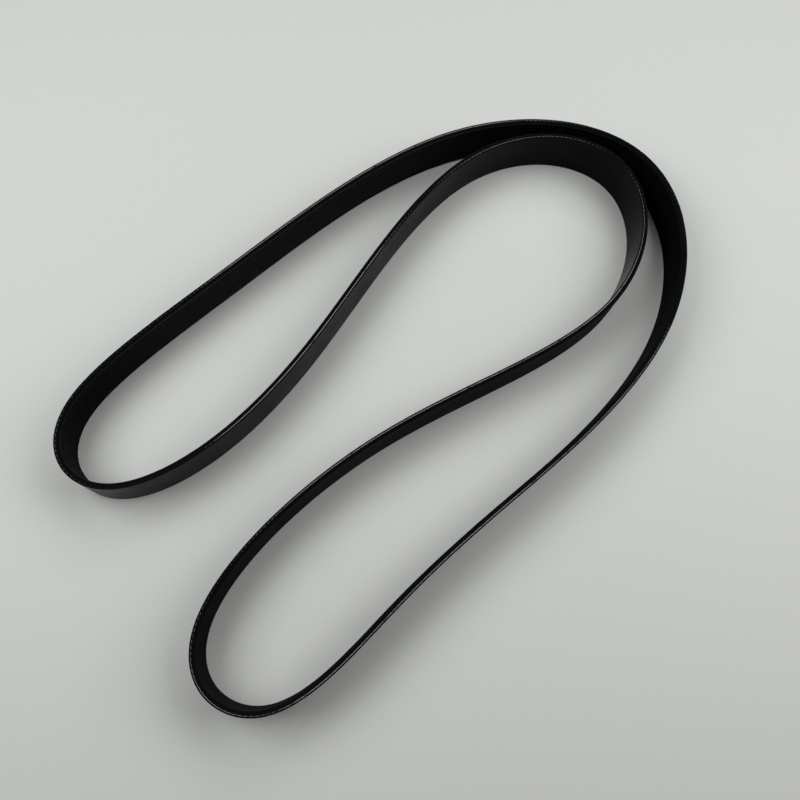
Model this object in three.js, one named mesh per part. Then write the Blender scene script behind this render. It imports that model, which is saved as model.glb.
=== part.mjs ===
// A ten-rib serpentine belt, off its pulleys and standing free on one cut edge.
// The belt is one endless vulcanised band. Its back is smooth, its inside carries V ribs that run
// all the way round, and the tensile cords inside the backing set its length.
// Units are millimetres, +Z is up, and the lower cut edge lies at Z = 0.

import * as THREE from 'three';
import { NURBSCurve } from 'three/addons/curves/NURBSCurve.js';
import { mergeVertices } from 'three/addons/utils/BufferGeometryUtils.js';

// Length once round the belt, measured along the middle of the tensile cords
const CORD_LENGTH = 2085;

// Section of the belt: ribs of the common 3.56 mm pitch, cut apart in the middle of a groove
const RIB_COUNT = 10;
const RIB_PITCH = 3.56;
const RIB_HEIGHT = 2.1;
const RIB_ANGLE = 40;
const GROOVE_FLOOR = 0.5;
const GROOVE_TO_CORD = 1.0;
const CORD_TO_BACK = 1.2;

// How the free belt lies, seen from above and going anticlockwise: the controls of a smooth closed
// curve, which passes a little inside each corner. Only the shape counts here, because the curve is
// brought to the belt's own length.
const LAY = [
  // inner leg from the left loop, with its bow towards the middle
  [-171, 30], [-54, 33],
  // inner bend, nested in the outer one
  [150, 108], [252, 0], [139, -97],
  // inner leg to the lower loop, and the loop's tight end
  [-48, -18], [-247, -34], [-233, -131],
  // outer run along the bottom
  [-121, -120], [-44, -118],
  // wide outer bend
  [162, -131], [272, -5], [153, 124],
  // outer run along the top, and the tight end of the upper loop
  [-57, 121], [-206, 127], [-226, 64],
];

// How finely the bent belt is divided
const STATION_COUNT = 120;
const WALK_STEPS = 4000;
const STRAIGHTEST_RADIUS = 900;

const CURVE_DEGREE = 3;
const RING_RADIUS = CORD_LENGTH / (2 * Math.PI);
const BELT_WIDTH = RIB_COUNT * RIB_PITCH;

const ribbedRubber = new THREE.MeshStandardMaterial({
  name: 'black_rubber',
  color: 0x161616,
  roughness: 0.62,
  metalness: 0,
});

// The closed section in the lathe's own plane: x is the radius, y is the height over the lower edge.
// It goes up the smooth back and comes down the ribbed inside.
function sectionOutline() {
  const back = RING_RADIUS + CORD_TO_BACK;
  const grooveFloor = RING_RADIUS - GROOVE_TO_CORD;
  const ribTip = grooveFloor - RIB_HEIGHT;
  const halfFloor = GROOVE_FLOOR / 2;
  const flankRise = RIB_HEIGHT * Math.tan(THREE.MathUtils.degToRad(RIB_ANGLE / 2));

  const outline = [new THREE.Vector2(back, 0), new THREE.Vector2(back, BELT_WIDTH)];
  outline.push(new THREE.Vector2(grooveFloor, BELT_WIDTH));
  for (let rib = RIB_COUNT; rib > 0; rib -= 1) {
    const high = rib * RIB_PITCH - halfFloor;
    const low = (rib - 1) * RIB_PITCH + halfFloor;
    outline.push(new THREE.Vector2(grooveFloor, high));
    outline.push(new THREE.Vector2(ribTip, high - flankRise));
    outline.push(new THREE.Vector2(ribTip, low + flankRise));
    outline.push(new THREE.Vector2(grooveFloor, low));
  }
  outline.push(new THREE.Vector2(grooveFloor, 0));
  return outline;
}

// A closed cubic curve round the lay's points, at a scale
function layCurve(scale) {
  const looped = [...LAY, ...LAY.slice(0, CURVE_DEGREE)];
  const controls = looped.map(([x, y]) => new THREE.Vector4(x * scale, y * scale, 0, 1));
  const knots = Array.from({ length: controls.length + CURVE_DEGREE + 1 }, (_, i) => i);
  const curve = new NURBSCurve(CURVE_DEGREE, knots, controls, CURVE_DEGREE, controls.length);
  curve.arcLengthDivisions = WALK_STEPS;
  return curve;
}

// Equal steps once round the cord line, each with its place, its outward direction and its bend
function walkCordLine() {
  const curve = layCurve(CORD_LENGTH / layCurve(1).getLength());
  const places = curve.getSpacedPoints(WALK_STEPS).slice(0, WALK_STEPS);
  const stepLength = CORD_LENGTH / WALK_STEPS;
  return places.map((place, i) => {
    const before = places[(i + WALK_STEPS - 1) % WALK_STEPS];
    const after = places[(i + 1) % WALK_STEPS];
    const arriving = place.clone().sub(before);
    const leaving = after.clone().sub(place);
    const along = after.clone().sub(before).normalize();
    const outward = new THREE.Vector2(along.y, -along.x);
    return { place, outward, bend: arriving.angleTo(leaving) / stepLength };
  });
}

// The stations where the section is set down. They are close where the belt bends hard and far apart
// where it runs nearly straight, so that every flat facet leaves the curve by about the same amount.
function chooseStations() {
  const walk = walkCordLine();
  const crowding = walk.map(({ bend }) => Math.sqrt(Math.max(bend, 1 / STRAIGHTEST_RADIUS)));
  const share = crowding.reduce((sum, value) => sum + value, 0) / STATION_COUNT;
  const stations = [];
  let travelled = 0;
  walk.forEach((step, i) => {
    if (stations.length < STATION_COUNT && travelled >= stations.length * share) {
      stations.push(step);
    }
    travelled += crowding[i];
  });
  return stations;
}

// The belt is turned as a true ring, as it is moulded, and then laid along its route
function beltGeometry() {
  const outline = sectionOutline();
  const stations = chooseStations();
  const ring = new THREE.LatheGeometry([...outline, outline[0]], stations.length);
  const positions = ring.getAttribute('position');
  const cornerCount = outline.length + 1;
  for (let i = 0; i < positions.count; i += 1) {
    const station = stations[Math.floor(i / cornerCount) % stations.length];
    const corner = outline[(i % cornerCount) % outline.length];
    const out = corner.x - RING_RADIUS;
    const x = station.place.x + station.outward.x * out;
    const y = station.place.y + station.outward.y * out;
    positions.setXYZ(i, x, y, corner.y);
  }
  ring.deleteAttribute('normal');
  ring.deleteAttribute('uv');
  const belt = mergeVertices(ring);
  belt.computeBoundingBox();
  const middle = belt.boundingBox.getCenter(new THREE.Vector3());
  belt.translate(-middle.x, -middle.y, 0);
  belt.computeVertexNormals();
  return belt;
}

const belt = new THREE.Mesh(beltGeometry(), ribbedRubber);
belt.name = 'ribbed_belt';

const serpentineBelt = new THREE.Group();
serpentineBelt.add(belt);

export default serpentineBelt;
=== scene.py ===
import bisect
import math

import bmesh
import bpy
from mathutils import Matrix, Vector


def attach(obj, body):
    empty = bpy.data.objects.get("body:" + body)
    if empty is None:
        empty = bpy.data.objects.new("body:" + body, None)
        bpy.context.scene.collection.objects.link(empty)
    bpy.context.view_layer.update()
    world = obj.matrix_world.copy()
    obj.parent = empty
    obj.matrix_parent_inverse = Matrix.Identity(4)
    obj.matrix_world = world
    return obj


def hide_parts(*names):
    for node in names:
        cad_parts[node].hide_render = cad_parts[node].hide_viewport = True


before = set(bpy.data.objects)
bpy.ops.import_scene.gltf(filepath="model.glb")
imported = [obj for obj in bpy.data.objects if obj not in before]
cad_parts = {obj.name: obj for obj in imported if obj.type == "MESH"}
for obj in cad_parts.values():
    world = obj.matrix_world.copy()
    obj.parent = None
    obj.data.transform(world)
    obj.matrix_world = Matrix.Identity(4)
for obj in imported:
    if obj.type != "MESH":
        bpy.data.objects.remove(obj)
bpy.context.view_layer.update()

# A ten-rib serpentine belt, standing free on one cut edge. Lengths are in metres, +Z is up.

MM = 0.001
NODE = "ribbed_belt"
BODY = "root"

# The belt's own sizes
CORD_LENGTH = 2085 * MM
RIB_COUNT = 10
RIB_PITCH = 3.56 * MM
RIB_HEIGHT = 2.1 * MM
RIB_ANGLE = math.radians(40)
GROOVE_FLOOR = 0.5 * MM
GROOVE_TO_CORD = 1.0 * MM
CORD_TO_BACK = 1.2 * MM
BELT_WIDTH = RIB_COUNT * RIB_PITCH
RIB_TIP_OUT = -GROOVE_TO_CORD - RIB_HEIGHT
RING_RADIUS = CORD_LENGTH / (2 * math.pi)

# How far its corners are rounded, measured along the faces that meet there
RIB_TIP_ROUNDING = 0.42 * MM
GROOVE_ROUNDING = 0.2 * MM
EDGE_ROUNDING = 0.1 * MM
ROUNDING_SEGMENTS = 2

# How near two points of the ring lie that are one, and how near the back a face lies that is part of it
WELD = 0.001 * MM
FLUSH = 0.01 * MM

# The finishes in the order in which the belt carries them
SMOOTH_BACK, CUT_EDGE, GROUND_RIBS = range(3)

# How the belt lies, seen from above and going anticlockwise: the controls of a smooth closed curve,
# in millimetres, which the belt's own length brings to size
LAY = [
    (-171, 30), (-54, 33),
    (150, 108), (252, 0), (139, -97),
    (-48, -18), (-247, -34), (-233, -131),
    (-121, -120), (-44, -118),
    (162, -131), (272, -5), (153, 124),
    (-57, 121), (-206, 127), (-226, 64),
]
STEPS_PER_CONTROL = 250
STEPS_PER_QUARTER = 140

# The tensile cord is two plies twisted together. The knife has bared one turn of it on each cut edge.
CORD_TURNS = 311
STEPS_PER_TURN = 10
CORD_STEPS = CORD_TURNS * STEPS_PER_TURN
PLY_COUNT = 2
PLY_RADIUS = 0.21 * MM
PLY_OFFSET = 0.12 * MM
PLY_RESOLUTION = 2
CORD_PROUD = 0.03 * MM

# How deep the cord's middle lies under the cut edge: where it isn't bared, and where it is at least as
# bare as the last value says
DEEPEST_CORD = 0.38 * MM
SHALLOWEST_CORD = 0.12 * MM
FULL_WIDTH_FROM = 0.45

# The fibre's lightness follows the bareness to this power, so a cord that is little bared is still
# coloured fairly light
LIGHTNESS_POWER = 0.4

# How bare the cord is on the upper edge, by the distance along the belt in millimetres. It sets how deep
# the cord lies and how light its fibre is coloured.
BARED = [
    (0, 0.95), (65, 0.65), (90, 0.25), (125, 0.12), (175, 0.28), (205, 0.33), (250, 0.25), (295, 0.1),
    (335, 0.28), (375, 0.35), (415, 0.9), (455, 0.45), (495, 0.35), (540, 0.6), (660, 0.45),
    (700, 0.2), (735, 0.12), (775, 0.2), (815, 0.38), (855, 0.25), (885, 0.8), (930, 0.6),
    (1040, 0.85), (1090, 0.4), (1140, 0.45), (1190, 0.3), (1235, 0.08), (1330, 0.13), (1390, 0.1),
    (1445, 0.25), (1500, 0.55), (1570, 0.7), (1620, 0.45), (1690, 0.5), (1735, 0.15), (1830, 0.13),
    (1860, 0.2), (1890, 0.15), (1925, 0.1), (1975, 0.1), (2010, 0.5), (2045, 0.9),
]

# How strong the highlight painted along the corners of the rib tips is, in the same way: stronger where
# light catches them
CORNER_HIGHLIGHT = [
    (0, 0.55), (630, 0.7), (700, 0.5), (770, 0.25), (850, 0.35), (920, 0.15), (1200, 0.2),
    (1320, 0.05), (1460, 0.1), (1560, 0.75), (1740, 0.95), (1830, 0.4), (1900, 0.4),
]

# Where the painted highlight lies on a corner, by the height over the rib's tip: where it starts and
# where it ends
HIGHLIGHT_STARTS = (0.02 * MM, 0.1 * MM)
HIGHLIGHT_ENDS = (0.3 * MM, 0.45 * MM)

# Colours of the rubber and of the cord's fibre, from the darkest streak or patch to the lightest
BACK_SKIN = ((0.0024, 0.0031, 0.0028, 1), (0.0042, 0.005, 0.0047, 1))
EDGE_RUBBER = ((0.0014, 0.0019, 0.0017, 1), (0.0038, 0.0046, 0.0042, 1))
# The rib tips' colour is painted shade, and the corners' colour is a painted highlight
RIB_TIP_SHADE = ((0.0006, 0.001, 0.0008, 1), (0.0014, 0.0019, 0.0017, 1))
RIB_CORNER_HIGHLIGHT = ((0.022, 0.0245, 0.023, 1), (0.056, 0.059, 0.057, 1))
RIB_FLANK = ((0.0018, 0.0024, 0.0021, 1), (0.0046, 0.0054, 0.005, 1))
CORD_FIBRE = ((0.16, 0.16, 0.155, 1), (0.36, 0.36, 0.35, 1))

# Colours of what lies in and on them
# Painted shade in the hollows of the back's twill
SHADE_BETWEEN_THREADS = (0.0006, 0.0009, 0.0008, 1)
BACK_STREAK = (0.006, 0.007, 0.0066, 1)
BACK_DUST = (0.04, 0.042, 0.04, 1)
EDGE_CRUMB = (0.012, 0.013, 0.012, 1)
GROUND_FIBRE = (0.009, 0.01, 0.0095, 1)
DARK_FIBRE = (0.012, 0.012, 0.012, 1)
SMEARED_RUBBER = (0.02, 0.02, 0.02, 1)

# Noise values between which an effect fades in. The amount of flecks, times a share, lowers their first.
FLECK_FADES_IN = (0.78, 0.85)
FLECK_AMOUNT_SHARE = 0.5
PATCH_FADES_IN = (0.35, 0.65)
SMEAR_FADES_IN = (0.56, 0.74)

# Grains of noise to the metre, in the cord's filaments and in the rubber smeared over it
FILAMENT_GRAIN = 9000.0
SMEAR_GRAIN = 260.0

# The photograph is square. The camera's foot is the point of the floor straight below it, which shows
# at the pixel below the camera. The photograph's frame is turned against the belt's own axes.
PHOTO_WIDTH = 800
FOCAL_PIXELS = 800
SENSOR_WIDTH_MM = 36.0
CAMERA_FOOT = (-145.35 * MM, -115.63 * MM)
CAMERA_HEIGHT = 538.8 * MM
PIXEL_BELOW_CAMERA = (355.5, 633.9)
PHOTO_TURN = math.radians(42)

# Softboxes: azimuth clockwise from the top of the photograph, elevation, distance, width, height, watts
SOFTBOXES = {
    "left_softbox": (276, 52, 0.9, 0.6, 0.57, 4.5),
    "right_softbox": (84, 49, 0.9, 0.56, 0.75, 4.0),
    "far_softbox": (14, 49, 1.07, 0.84, 0.59, 3.5),
}

# The floor, and the distances from the belt's middle between which it turns into the pale backdrop
FLOOR_RADIUS = 6.0
FLOOR_SIDES = 96
SHEET = (0.635, 0.648, 0.626, 1)
BACKDROP_NEAR = 0.48
BACKDROP_FAR = 0.76
PALE = (0.6, 0.611, 0.592, 1)

# The room's walls end, and its dim ceiling is reached, at these sines of the elevation
WALLS_END = 0.08
CEILING_START = 0.36
CEILING = (0.03, 0.0305, 0.0296, 1)


# Route of the belt

def curve_point(controls, index, t):
    """A point of the closed cubic curve, in the span that starts at a control."""
    weights = (
        (1 - t) ** 3 / 6,
        (3 * t**3 - 6 * t**2 + 4) / 6,
        (-3 * t**3 + 3 * t**2 + 3 * t + 1) / 6,
        t**3 / 6,
    )
    point = Vector((0, 0))
    for step, weight in enumerate(weights):
        point += weight * controls[(index + step) % len(controls)]
    return point


class Route:
    """The cord line as it lies, asked by the distance along it."""

    def __init__(self):
        controls = [Vector(xy) for xy in LAY]
        places = [
            curve_point(controls, index, step / STEPS_PER_CONTROL)
            for index in range(len(controls))
            for step in range(STEPS_PER_CONTROL)
        ]
        places.append(places[0])
        travelled = [0.0]
        for before, after in zip(places, places[1:]):
            travelled.append(travelled[-1] + (after - before).length)
        scale = CORD_LENGTH / travelled[-1]
        self.travelled = [length * scale for length in travelled]
        self.places = [place * scale for place in places]
        shift = self.centring()
        self.places = [place + shift for place in self.places]

    def centring(self):
        """The shift that puts the belt's footprint about the origin, as the frame has it."""
        backs = [place + outward * CORD_TO_BACK for place, outward in map(self.at, self.travelled)]
        low = Vector((min(p.x for p in backs), min(p.y for p in backs)))
        high = Vector((max(p.x for p in backs), max(p.y for p in backs)))
        return -(low + high) / 2

    def at(self, distance):
        """The place and the outward direction at a distance along the belt."""
        distance %= CORD_LENGTH
        last = len(self.places) - 1
        low = min(bisect.bisect_right(self.travelled, distance) - 1, last - 1)
        high = low + 1
        share = (distance - self.travelled[low]) / (self.travelled[high] - self.travelled[low])
        heading_low = self.places[high] - self.places[low - 1 if low else last - 1]
        heading_high = self.places[high + 1 if high < last else 1] - self.places[low]
        heading = heading_low.lerp(heading_high, share).normalized()
        return self.places[low].lerp(self.places[high], share), Vector((heading.y, -heading.x))


def eased(stops, distance):
    """A value at a distance along the belt, eased between the places where it is given."""
    distance = distance / MM % (CORD_LENGTH / MM)
    stops = stops + [(CORD_LENGTH / MM, stops[0][1])]
    for (start, low), (end, high) in zip(stops, stops[1:]):
        if distance <= end:
            break
    t = (distance - start) / (end - start)
    return low + (high - low) * t * t * (3 - 2 * t)


def add_object(name, data):
    """A new object in the scene, at the origin."""
    added = bpy.data.objects.new(name, data)
    bpy.context.scene.collection.objects.link(added)
    return added


def write_on_points(mesh, name, values):
    """A number on each point of a mesh, which a material reads."""
    mesh.attributes.new(name, "FLOAT", "POINT").data.foreach_set("value", values)


# Belt

def section_outline():
    """Corners of the section at the ring's start: radius, height and how far each is rounded."""
    back = RING_RADIUS + CORD_TO_BACK
    floor = RING_RADIUS - GROOVE_TO_CORD
    tip = floor - RIB_HEIGHT
    half_floor = GROOVE_FLOOR / 2
    flank_rise = RIB_HEIGHT * math.tan(RIB_ANGLE / 2)
    corners = [(back, 0, EDGE_ROUNDING), (back, BELT_WIDTH, EDGE_ROUNDING), (floor, BELT_WIDTH, 0)]
    for rib in reversed(range(RIB_COUNT)):
        high = (rib + 1) * RIB_PITCH - half_floor
        low = rib * RIB_PITCH + half_floor
        corners += [
            (floor, high, GROOVE_ROUNDING),
            (tip, high - flank_rise, RIB_TIP_ROUNDING),
            (tip, low + flank_rise, RIB_TIP_ROUNDING),
            (floor, low, GROOVE_ROUNDING),
        ]
    corners.append((floor, 0, 0))
    return corners


def draw_section(bm):
    """The section as a closed loop of edges, with its corners rounded."""
    corners = section_outline()
    verts = [bm.verts.new((radius, 0, height)) for radius, height, _ in corners]
    for here, there in zip(verts, verts[1:] + verts[:1]):
        bm.edges.new((here, there))
    for rounding in (RIB_TIP_ROUNDING, GROOVE_ROUNDING, EDGE_ROUNDING):
        chosen = [vert for vert, corner in zip(verts, corners) if corner[2] == rounding]
        bmesh.ops.bevel(
            bm, geom=chosen, offset=rounding, offset_type="OFFSET", segments=ROUNDING_SEGMENTS,
            profile=0.5, affect="VERTICES", material=-1,
        )


def mould_ring(bm):
    """Turns the section into the round belt as it is moulded: one quarter, then the other three."""
    draw_section(bm)
    bmesh.ops.spin(
        bm, geom=bm.verts[:] + bm.edges[:], cent=(0, 0, 0), axis=(0, 0, 1), dvec=(0, 0, 0),
        angle=math.pi / 2, steps=STEPS_PER_QUARTER,
    )
    quarter = bm.verts[:] + bm.edges[:] + bm.faces[:]
    for turns in (1, 2, 3):
        copy = bmesh.ops.duplicate(bm, geom=quarter)["geom"]
        bmesh.ops.rotate(
            bm, verts=[item for item in copy if isinstance(item, bmesh.types.BMVert)],
            cent=(0, 0, 0), matrix=Matrix.Rotation(turns * math.pi / 2, 3, "Z"),
        )
    bmesh.ops.remove_doubles(bm, verts=bm.verts, dist=WELD)


def mark_faces(bm):
    """Gives each face of the ring its finish."""
    for face in bm.faces:
        face.smooth = True
        centre = face.calc_center_median()
        out = math.hypot(centre.x, centre.y) - RING_RADIUS
        if out > CORD_TO_BACK - FLUSH:
            face.material_index = SMOOTH_BACK
        elif out > -GROOVE_TO_CORD and min(centre.z, BELT_WIDTH - centre.z) < EDGE_ROUNDING:
            face.material_index = CUT_EDGE
        else:
            face.material_index = GROUND_RIBS


def lay_down(bm, route):
    """Bends the moulded ring into the shape in which the belt lies."""
    stations = {}
    for vert in bm.verts:
        angle = math.atan2(vert.co.y, vert.co.x) % (2 * math.pi)
        key = round(angle, 6)
        if key not in stations:
            stations[key] = route.at(angle * RING_RADIUS)
        place, outward = stations[key]
        xy = place + outward * (math.hypot(vert.co.x, vert.co.y) - RING_RADIUS)
        vert.co = (xy.x, xy.y, vert.co.z)
    bmesh.ops.recalc_face_normals(bm, faces=bm.faces)


def make_belt(route):
    """The whole belt. Each of its points keeps its place in the mould, for the patterns to follow."""
    bm = bmesh.new()
    mould_ring(bm)
    mark_faces(bm)
    moulded = [vert.co.copy() for vert in bm.verts]
    lay_down(bm, route)
    mesh = bpy.data.meshes.new("belt")
    bm.to_mesh(mesh)
    bm.free()
    attribute = mesh.attributes.new("moulded_place", "FLOAT_VECTOR", "POINT")
    attribute.data.foreach_set("vector", [number for place in moulded for number in place])
    # The painted highlight along the rib corners, stronger on the stretches where light catches them
    painted_highlight = [eased(CORNER_HIGHLIGHT, math.atan2(place.y, place.x) * RING_RADIUS) for place in moulded]
    write_on_points(mesh, "painted_corner_highlight", painted_highlight)
    belt = add_object("belt", mesh)
    for material in (smooth_back(), cut_edge(), ground_ribs()):
        mesh.materials.append(material)
    belt.modifiers.new("flats_shade_flat", "WEIGHTED_NORMAL").keep_sharp = True
    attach(belt, BODY)
    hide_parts(NODE)


# Bared cords

def twist_ply(curve, route, phase, face_height, upwards, start):
    """One ply of the cord, winding round the cord line just under a cut edge."""
    spline = curve.splines.new("POLY")
    spline.points.add(CORD_STEPS - 1)
    spline.use_cyclic_u = True
    for step in range(CORD_STEPS):
        distance = CORD_LENGTH * step / CORD_STEPS
        turn = 2 * math.pi * step / STEPS_PER_TURN + phase
        place, outward = route.at(distance)
        risen = min(1.0, eased(BARED, distance + start) / FULL_WIDTH_FROM)
        depth = DEEPEST_CORD + (SHALLOWEST_CORD - DEEPEST_CORD) * risen
        xy = place + outward * PLY_OFFSET * math.cos(turn)
        z = face_height + upwards * (PLY_OFFSET * math.sin(turn) - depth)
        spline.points[step].co = (xy.x, xy.y, z, 1)


def cut_strand(name, route, face_height, upwards, start):
    """The twisted plies as one mesh, cut off almost flush with the edge."""
    curve = bpy.data.curves.new(name, "CURVE")
    curve.dimensions = "3D"
    curve.bevel_depth = PLY_RADIUS
    curve.bevel_resolution = PLY_RESOLUTION
    for ply in range(PLY_COUNT):
        twist_ply(curve, route, 2 * math.pi * ply / PLY_COUNT, face_height, upwards, start)
    strand = bpy.data.objects.new(name + "_curve", curve)
    mesh = bpy.data.meshes.new_from_object(strand)
    bpy.data.objects.remove(strand)
    bpy.data.curves.remove(curve)
    limit = face_height + upwards * CORD_PROUD
    for vert in mesh.vertices:
        if (vert.co.z - limit) * upwards > 0:
            vert.co.z = limit
    return mesh


def make_bared_cord(name, route, face_height, upwards, start):
    """The strand that shows in a cut edge. Upwards is 1 or -1, and start shifts its bared stretches."""
    mesh = cut_strand(name, route, face_height, upwards, start)
    lightness = [
        eased(BARED, CORD_LENGTH * step / CORD_STEPS + start) ** LIGHTNESS_POWER
        for step in range(CORD_STEPS)
    ]
    round_a_ply = len(mesh.vertices) // (PLY_COUNT * CORD_STEPS)
    fibre = [lightness[vert.index // round_a_ply % CORD_STEPS] for vert in mesh.vertices]
    write_on_points(mesh, "fibre_lightness", fibre)
    cord = add_object(name, mesh)
    mesh.materials.clear()
    mesh.materials.append(bared_cord())
    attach(cord, BODY)


# Nodes

def put(tree, kind, feeds=None, **settings):
    """A node with its settings. Each feed is a value for an input, or a socket that is linked to it."""
    node = tree.nodes.new(kind)
    for name, value in settings.items():
        setattr(node, name, value)
    for name, value in (feeds or {}).items():
        if isinstance(value, bpy.types.NodeSocket):
            tree.links.new(value, node.inputs[name])
        else:
            node.inputs[name].default_value = value
    return node


def sums(tree, operation, first, second=0.0, third=0.0):
    """A Math node's result, from values or sockets."""
    return put(tree, "ShaderNodeMath", {0: first, 1: second, 2: third}, operation=operation).outputs[0]


def rising(tree, value, low, high, **settings):
    """A mask that rises from 0 to 1 while a value goes from low to high."""
    feeds = {"Value": value, "From Min": low, "From Max": high}
    return put(tree, "ShaderNodeMapRange", feeds, **settings).outputs[0]


def noise(tree, place, scale, detail):
    """Soft noise about 0.5, with as many grains to a unit of the place as the scale says."""
    feeds = {"Vector": place, "Scale": scale, "Detail": detail}
    return put(tree, "ShaderNodeTexNoise", feeds).outputs[0]


def blend_colours(tree, mask, first, second):
    """The first colour where the mask is 0 and the second where it is 1. Each may be a socket."""
    return put(tree, "ShaderNodeMix", {0: mask, 6: first, 7: second}, data_type="RGBA").outputs[2]


def start_group(name, inputs, outputs):
    """A node group with named number inputs and outputs. Returns its tree and its inner ends."""
    tree = bpy.data.node_groups.new(name, "ShaderNodeTree")
    for title, value in inputs.items():
        socket = tree.interface.new_socket(title, in_out="INPUT", socket_type="NodeSocketFloat")
        socket.default_value = value
    for title in outputs:
        tree.interface.new_socket(title, in_out="OUTPUT", socket_type="NodeSocketFloat")
    return tree, tree.nodes.new("NodeGroupInput").outputs, tree.nodes.new("NodeGroupOutput").inputs


def use(tree, group, **values):
    """Places a node group with its own values and returns its outputs."""
    node = put(tree, "ShaderNodeGroup", node_tree=group)
    for title, value in values.items():
        node.inputs[title.replace("_", " ")].default_value = value
    return node.outputs


def moulded_place(tree):
    """Where each point of the belt was in the mould, before it was laid down."""
    return put(tree, "ShaderNodeAttribute", attribute_name="moulded_place").outputs["Vector"]


def moulded_radius(tree, place):
    """The distance from the mould's axis, from the separated place."""
    squares = [sums(tree, "MULTIPLY", place[axis], place[axis]) for axis in ("X", "Y")]
    return sums(tree, "SQRT", sums(tree, "ADD", *squares))


def moulded_noise(tree, size, detail):
    """Noise that follows the belt, with grains of a given size."""
    feeds = {0: moulded_place(tree), "Scale": sums(tree, "DIVIDE", 1.0, size)}
    scaled = put(tree, "ShaderNodeVectorMath", feeds, operation="SCALE")
    return noise(tree, scaled.outputs[0], 1.0, detail)


def lengthwise_streaks():
    """Fine lines along the belt, as a grinding wheel or a knife leaves them."""
    tree, given, result = start_group(
        "lengthwise_streaks", {"Streak Length": 0.03, "Streak Width": 0.0002}, ("Height",))
    place = put(tree, "ShaderNodeSeparateXYZ", {0: moulded_place(tree)}).outputs
    across = sums(tree, "ADD", moulded_radius(tree, place), place["Z"])
    drawn = put(tree, "ShaderNodeCombineXYZ", {
        "X": sums(tree, "DIVIDE", place["X"], given["Streak Length"]),
        "Y": sums(tree, "DIVIDE", place["Y"], given["Streak Length"]),
        "Z": sums(tree, "DIVIDE", across, given["Streak Width"]),
    }).outputs[0]
    tree.links.new(noise(tree, drawn, 1.0, 2.0), result["Height"])
    return tree


def fabric_imprint():
    """The shallow twill that the curing cloth leaves in the back."""
    tree, given, result = start_group(
        "fabric_imprint", {"Threads Round The Belt": 2000.0, "Thread Pitch": 0.001}, ("Height",))
    place = put(tree, "ShaderNodeSeparateXYZ", {0: moulded_place(tree)}).outputs
    angle = sums(tree, "ARCTAN2", place["Y"], place["X"])
    along = sums(tree, "MULTIPLY", angle, given["Threads Round The Belt"])
    threads_up = sums(tree, "DIVIDE", place["Z"], given["Thread Pitch"])
    across = sums(tree, "MULTIPLY", threads_up, 2 * math.pi)
    climbing = sums(tree, "SINE", sums(tree, "ADD", along, across))
    falling = sums(tree, "SINE", sums(tree, "SUBTRACT", along, across))
    height = sums(tree, "MULTIPLY_ADD", sums(tree, "MAXIMUM", climbing, falling), 0.5, 0.5)
    tree.links.new(height, result["Height"])
    return tree


def flecks():
    """Scattered specks: dust on the skin, or short fibres that the grinding laid bare."""
    tree, given, result = start_group("flecks", {"Fleck Size": 0.0005, "Amount": 0.1}, ("Mask",))
    grain = moulded_noise(tree, given["Fleck Size"], 1.0)
    low, high = FLECK_FADES_IN
    start = sums(tree, "SUBTRACT", low, sums(tree, "MULTIPLY", given["Amount"], FLECK_AMOUNT_SHARE))
    tree.links.new(rising(tree, grain, start, high), result["Mask"])
    return tree


def handling_marks():
    """Broad soft patches where the skin is a little more or less glossy."""
    tree, given, result = start_group("handling_marks", {"Patch Size": 0.03}, ("Mask",))
    patches = moulded_noise(tree, given["Patch Size"], 3.0)
    tree.links.new(rising(tree, patches, *PATCH_FADES_IN), result["Mask"])
    return tree


def outward_rise():
    """A mask that rises from 0 to 1 between two distances, counted outwards from the cord line."""
    tree, given, result = start_group("outward_rise", {"Start": 0.0, "Full": 1.0}, ("Mask",))
    place = put(tree, "ShaderNodeSeparateXYZ", {0: moulded_place(tree)}).outputs
    out = sums(tree, "SUBTRACT", moulded_radius(tree, place), RING_RADIUS)
    tree.links.new(rising(tree, out, given["Start"], given["Full"]), result["Mask"])
    return tree


def new_material(name, gloss):
    """A material with its shader's specular level set. Returns it, its tree and its shader."""
    material = bpy.data.materials.new(name)
    material.use_nodes = True
    shader = material.node_tree.nodes["Principled BSDF"]
    shader.inputs["Specular IOR Level"].default_value = gloss
    return material, material.node_tree, shader


def roughness_between(tree, shader, mask, smooth, rough):
    """Roughness that follows a mask."""
    spread = put(tree, "ShaderNodeMapRange", {"Value": mask, "To Min": smooth, "To Max": rough})
    tree.links.new(spread.outputs[0], shader.inputs["Roughness"])


def bump(tree, height, distance, strength, under=None):
    """The normal over a relief, which may lie on the relief under it."""
    feeds = {"Height": height, "Distance": distance, "Strength": strength}
    if under is not None:
        feeds["Normal"] = under
    return put(tree, "ShaderNodeBump", feeds).outputs[0]


# Finishes

def smooth_back():
    """The back: moulded rubber with a satin skin, a faint twill in it with painted shade in its hollows,
    and a little dust on it.
    """
    material, tree, shader = new_material("smooth_back", gloss=0.025)
    patches = use(tree, HANDLING, Patch_Size=35 * MM)["Mask"]
    dust = use(tree, FLECKS, Fleck_Size=0.6 * MM, Amount=0.12)["Mask"]
    streaks = use(tree, STREAKS, Streak_Length=50 * MM, Streak_Width=1.2 * MM)["Height"]
    twill = use(tree, TWILL, Threads_Round_The_Belt=1900.0, Thread_Pitch=1.1 * MM)["Height"]
    threads = blend_colours(tree, patches, *BACK_SKIN)
    # The twill's hollows are painted darker as shade
    woven = blend_colours(tree, twill, SHADE_BETWEEN_THREADS, threads)
    streaked = blend_colours(tree, sums(tree, "MULTIPLY", streaks, 0.5), woven, BACK_STREAK)
    tree.links.new(blend_colours(tree, dust, streaked, BACK_DUST), shader.inputs["Base Color"])
    roughness_between(tree, shader, patches, smooth=0.22, rough=0.32)
    relief = bump(tree, twill, distance=0.04 * MM, strength=0.6)
    relief = bump(tree, streaks, distance=0.02 * MM, strength=0.3, under=relief)
    tree.links.new(relief, shader.inputs["Normal"])
    return material


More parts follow.
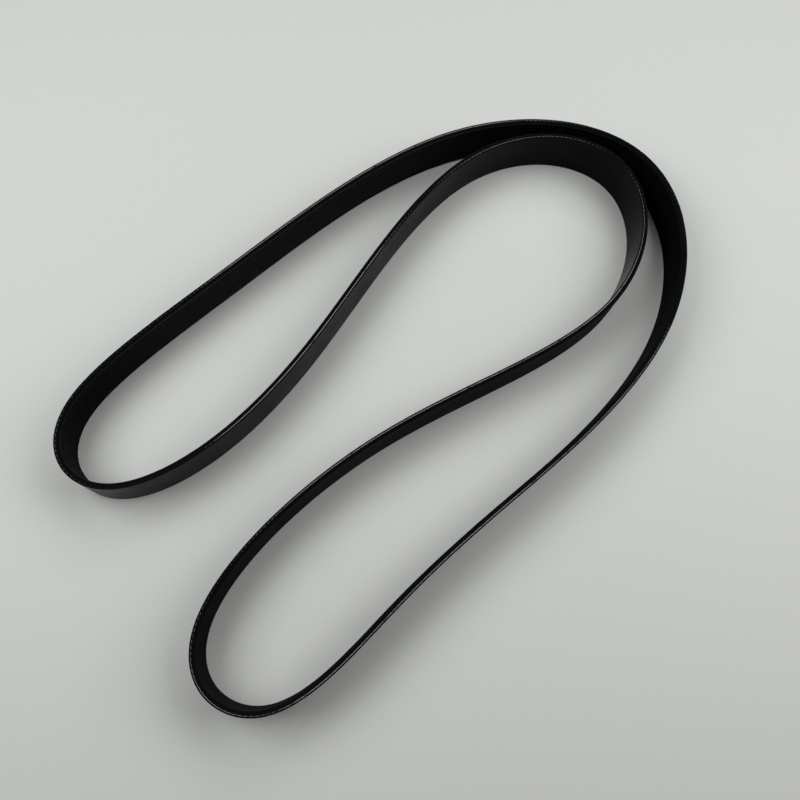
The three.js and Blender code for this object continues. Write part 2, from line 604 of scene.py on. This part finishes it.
def cut_edge():
    """The cut edges: dull rubber with the knife's fine lines."""
    material, tree, shader = new_material("cut_edge", gloss=0.03)
    streaks = use(tree, STREAKS, Streak_Length=12 * MM, Streak_Width=0.25 * MM)["Height"]
    crumbs = use(tree, FLECKS, Fleck_Size=0.4 * MM, Amount=0.15)["Mask"]
    rubber = blend_colours(tree, streaks, *EDGE_RUBBER)
    tree.links.new(blend_colours(tree, crumbs, rubber, EDGE_CRUMB), shader.inputs["Base Color"])
    roughness_between(tree, shader, streaks, smooth=0.7, rough=0.85)
    relief = bump(tree, streaks, distance=0.04 * MM, strength=0.5)
    tree.links.new(relief, shader.inputs["Normal"])
    return material


def ground_ribs():
    """The ribs: ground rubber, deep black, with painted shade on the tips and a highlight painted grey
    along their corners.
    """
    material, tree, shader = new_material("ground_ribs", gloss=0.008)
    streaks = use(tree, STREAKS, Streak_Length=20 * MM, Streak_Width=0.22 * MM)["Height"]
    fibres = use(tree, FLECKS, Fleck_Size=0.3 * MM, Amount=0.2)["Mask"]
    patches = use(tree, HANDLING, Patch_Size=60 * MM)["Mask"]
    past_tip, past_corner = [
        use(tree, OUTWARD, Start=RIB_TIP_OUT + start, Full=RIB_TIP_OUT + full)["Mask"]
        for start, full in (HIGHLIGHT_STARTS, HIGHLIGHT_ENDS)
    ]
    # The tips are painted darker as shade, and a highlight is painted on their corners
    tip = blend_colours(tree, streaks, *RIB_TIP_SHADE)
    corner = blend_colours(tree, streaks, *RIB_CORNER_HIGHLIGHT)
    flank = blend_colours(tree, streaks, *RIB_FLANK)
    painted_highlight = put(tree, "ShaderNodeAttribute", attribute_name="painted_corner_highlight").outputs["Fac"]
    on_corner = sums(tree, "MULTIPLY", past_tip, sums(tree, "SUBTRACT", 1.0, past_corner))
    black = blend_colours(tree, past_corner, tip, flank)
    rubber = blend_colours(tree, sums(tree, "MULTIPLY", on_corner, painted_highlight), black, corner)
    tree.links.new(blend_colours(tree, fibres, rubber, GROUND_FIBRE), shader.inputs["Base Color"])
    roughness_between(tree, shader, patches, smooth=0.5, rough=0.62)
    relief = bump(tree, streaks, distance=0.04 * MM, strength=0.5)
    tree.links.new(relief, shader.inputs["Normal"])
    return material


def bared_cord():
    """Grey cord fibre, coloured darker where little of it is bared, and smeared with rubber here and
    there.
    """
    material, tree, shader = new_material("bared_cord", gloss=0.2)
    place = put(tree, "ShaderNodeTexCoord").outputs["Object"]
    filaments = noise(tree, place, FILAMENT_GRAIN, 2.0)
    smeared = rising(tree, noise(tree, place, SMEAR_GRAIN, 2.0), *SMEAR_FADES_IN)
    lightness = put(tree, "ShaderNodeAttribute", attribute_name="fibre_lightness").outputs["Fac"]
    fibre = blend_colours(tree, lightness, DARK_FIBRE, blend_colours(tree, filaments, *CORD_FIBRE))
    tree.links.new(blend_colours(tree, smeared, fibre, SMEARED_RUBBER), shader.inputs["Base Color"])
    shader.inputs["Roughness"].default_value = 0.8
    relief = bump(tree, filaments, distance=0.05 * MM, strength=0.6)
    tree.links.new(relief, shader.inputs["Normal"])
    return material


# Scene

def make_camera():
    """The camera of the photograph. The pixel straight below it gives its tilt and roll."""
    middle = PHOTO_WIDTH / 2
    down = Vector((
        (PIXEL_BELOW_CAMERA[0] - middle) / FOCAL_PIXELS,
        (middle - PIXEL_BELOW_CAMERA[1]) / FOCAL_PIXELS,
        -1.0,
    )).normalized()
    up = -down
    right = Vector((1, 0, 0))
    right = (right - up * right.dot(up)).normalized()
    away = up.cross(right)
    level = Matrix((right, away, up)).to_4x4()
    data = bpy.data.cameras.new("photo_camera")
    data.sensor_width = SENSOR_WIDTH_MM
    data.lens = SENSOR_WIDTH_MM * FOCAL_PIXELS / PHOTO_WIDTH
    camera = add_object("photo_camera", data)
    place = Matrix.Translation((*CAMERA_FOOT, CAMERA_HEIGHT))
    camera.matrix_world = place @ Matrix.Rotation(-PHOTO_TURN, 4, "Z") @ level
    bpy.context.scene.camera = camera


def pale_sheet():
    """Matt paper, which turns into the plain backdrop far from the belt."""
    material, tree, shader = new_material("pale_sheet", gloss=0.1)
    shader.inputs["Base Color"].default_value = SHEET
    shader.inputs["Roughness"].default_value = 0.9
    place = put(tree, "ShaderNodeTexCoord").outputs["Object"]
    reach = put(tree, "ShaderNodeVectorMath", {0: place}, operation="LENGTH").outputs["Value"]
    far = rising(tree, reach, BACKDROP_NEAR, BACKDROP_FAR, interpolation_type="SMOOTHSTEP")
    seen = put(tree, "ShaderNodeLightPath").outputs["Is Camera Ray"]
    backdrop = put(tree, "ShaderNodeEmission", {"Color": PALE}).outputs[0]
    share = sums(tree, "MULTIPLY", far, seen)
    mixed = put(tree, "ShaderNodeMixShader", {0: share, 1: shader.outputs[0], 2: backdrop})
    tree.links.new(mixed.outputs[0], tree.nodes["Material Output"].inputs["Surface"])
    return material


def make_floor():
    """A plain sheet, a hair below the belt's lower edge because of the cord that stands proud there."""
    bm = bmesh.new()
    bmesh.ops.create_circle(bm, cap_ends=True, segments=FLOOR_SIDES, radius=FLOOR_RADIUS)
    bmesh.ops.translate(bm, verts=bm.verts, vec=(0, 0, -2 * CORD_PROUD))
    mesh = bpy.data.meshes.new("floor")
    bm.to_mesh(mesh)
    bm.free()
    floor = add_object("floor", mesh)
    mesh.materials.append(pale_sheet())


def make_softbox(name, azimuth, elevation, distance, width, height, watts):
    """An area lamp that faces the belt's middle. The camera doesn't see it."""
    data = bpy.data.lights.new(name, "AREA")
    data.shape = "RECTANGLE"
    data.size = width
    data.size_y = height
    data.energy = watts
    lamp = add_object(name, data)
    bearing = math.radians(90 - azimuth) - PHOTO_TURN
    rise = math.radians(elevation)
    flat = distance * math.cos(rise)
    place = Vector((flat * math.cos(bearing), flat * math.sin(bearing), distance * math.sin(rise)))
    facing = (-place).to_track_quat("-Z", "Y").to_matrix().to_4x4()
    lamp.matrix_world = Matrix.Translation(place) @ facing
    lamp.visible_camera = False


def make_world():
    """A room with pale walls round the horizon and a dim ceiling, which the camera sees pale too."""
    world = bpy.data.worlds.new("studio_room")
    bpy.context.scene.world = world
    world.use_nodes = True
    tree = world.node_tree
    direction = put(tree, "ShaderNodeTexCoord").outputs["Generated"]
    rise = put(tree, "ShaderNodeSeparateXYZ", {0: direction}).outputs["Z"]
    overhead = rising(tree, rise, WALLS_END, CEILING_START, interpolation_type="SMOOTHSTEP")
    seen = put(tree, "ShaderNodeLightPath").outputs["Is Camera Ray"]
    dim = sums(tree, "MULTIPLY", overhead, sums(tree, "SUBTRACT", 1.0, seen))
    room = blend_colours(tree, dim, PALE, CEILING)
    tree.links.new(room, tree.nodes["Background"].inputs["Color"])


STREAKS = lengthwise_streaks()
TWILL = fabric_imprint()
FLECKS = flecks()
HANDLING = handling_marks()
OUTWARD = outward_rise()

route = Route()
make_belt(route)
make_bared_cord("bared_cord_upper", route, BELT_WIDTH, 1, 0)
make_bared_cord("bared_cord_lower", route, 0, -1, CORD_LENGTH / 2)
make_floor()
for name, sizes in SOFTBOXES.items():
    make_softbox(name, *sizes)
make_world()
make_camera()
bpy.context.scene.view_settings.view_transform = "Standard"
